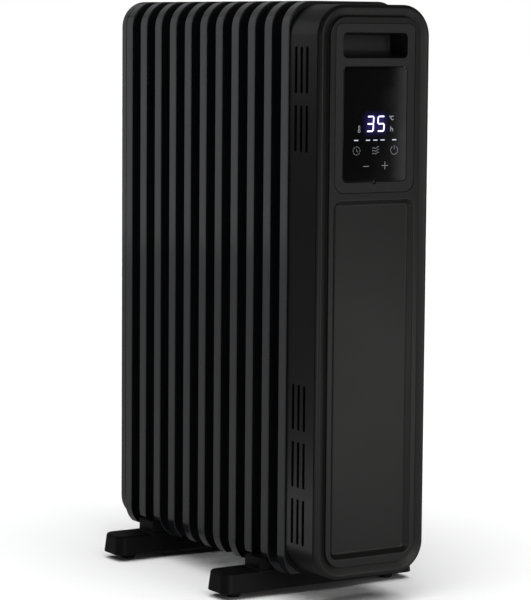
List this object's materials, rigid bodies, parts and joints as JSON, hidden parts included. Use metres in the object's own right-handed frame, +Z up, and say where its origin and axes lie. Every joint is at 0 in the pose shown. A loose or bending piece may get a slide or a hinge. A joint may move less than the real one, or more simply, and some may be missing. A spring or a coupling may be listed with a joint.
{
  "type": "oil filled radiator",
  "caption": "Free-standing oil filled electric radiator: a row of black steel fins, a slim control housing with touch display and pocket handle, and two cross feet.",
  "frame": {"origin": "on the floor, under the middle of the whole object's box", "axes": "+Z up, X across the fins, -Y towards the control housing's front face, +Y to the rear panel"},
  "size_m": [0.244, 0.4128, 0.63],
  "materials": {
    "fin_paint": "satin black stove enamel on pressed steel",
    "plate_steel": "dull dark grey coated sheet steel",
    "bright_steel": "plain zinc-plated steel",
    "shell_plastic": "matte black moulded plastic with a fine grain",
    "panel_plastic": "soft black moulded plastic, slightly warm",
    "plate_plastic": "dark grey matte plastic inlay",
    "cup_plastic": "matte black plastic",
    "display_glass": "glossy black touch glass, printed behind",
    "circuit_board": "green circuit board",
    "component_black": "black moulded component plastic",
    "component_yellow": "yellow tape-wound transformer",
    "foot_plastic": "matte black moulded plastic",
    "pad_rubber": "dark grey rubber",
    "seal_rubber": "black rubber",
    "wire_brown": "brown wire insulation",
    "wire_blue": "blue wire insulation"
  },
  "bodies": {
    "radiator": {"fin_01": "fin_paint", "fin_02": "fin_paint", "fin_03": "fin_paint", "fin_04": "fin_paint", "fin_05": "fin_paint", "fin_06": "fin_paint", "fin_07": "fin_paint", "fin_08": "fin_paint", "fin_09": "fin_paint", "fin_10": "fin_paint", "fin_11": "fin_paint", "rear_panel": "fin_paint", "header_plug_upper": "plate_steel", "header_plug_lower": "plate_steel", "end_plate": "plate_steel", "filler_plug": "bright_steel", "element_flange": "bright_steel", "heating_element_upper": "bright_steel", "heating_element_lower": "bright_steel", "heat_shield": "bright_steel", "element_gasket": "seal_rubber", "cord_gland": "seal_rubber", "housing_shell": "shell_plastic", "front_panel": "panel_plastic", "control_plate": "plate_plastic", "handle_cup": "cup_plastic", "display_glass": "display_glass", "receiver_lens": "component_black", "digit_module": "component_black", "relay_1": "component_black", "relay_2": "component_black", "terminal_block": "component_black", "thermal_cutout": "component_black", "room_sensor": "component_black", "switch_frame": "component_black", "tilt_switch_case": "component_black", "display_board": "circuit_board", "power_board": "circuit_board", "transformer": "component_yellow", "wire_live": "wire_brown", "wire_neutral": "wire_blue", "housing_screw_left_low": "bright_steel", "housing_screw_left_top": "bright_steel", "housing_screw_right_low": "bright_steel", "housing_screw_right_top": "bright_steel", "foot_front": "foot_plastic", "foot_front_u_bolt": "bright_steel", "foot_front_wing_nut_left": "bright_steel", "foot_front_pad_left": "pad_rubber", "foot_front_wing_nut_right": "bright_steel", "foot_front_pad_right": "pad_rubber", "foot_rear": "foot_plastic", "foot_rear_u_bolt": "bright_steel", "foot_rear_wing_nut_left": "bright_steel", "foot_rear_pad_left": "pad_rubber", "foot_rear_wing_nut_right": "bright_steel", "foot_rear_pad_right": "pad_rubber"},
    "rocker": {"switch_rocker": "component_black"},
    "pendulum": {"tilt_pendulum": "bright_steel"}
  },
  "joints": [
    {"name": "switch_rocker_pivot", "type": "hinge", "parent": "radiator", "child": "rocker", "pos_m": [0.0668, -0.1764, 0.32925], "axis": [0, -1, 0], "range_deg": [0, 18]},
    {"name": "tilt_pendulum_swing", "type": "hinge", "parent": "radiator", "child": "pendulum", "pos_m": [-0.03, -0.16405, 0.159], "axis": [0, 1, 0], "range_deg": [-25, 25]}
  ]
}
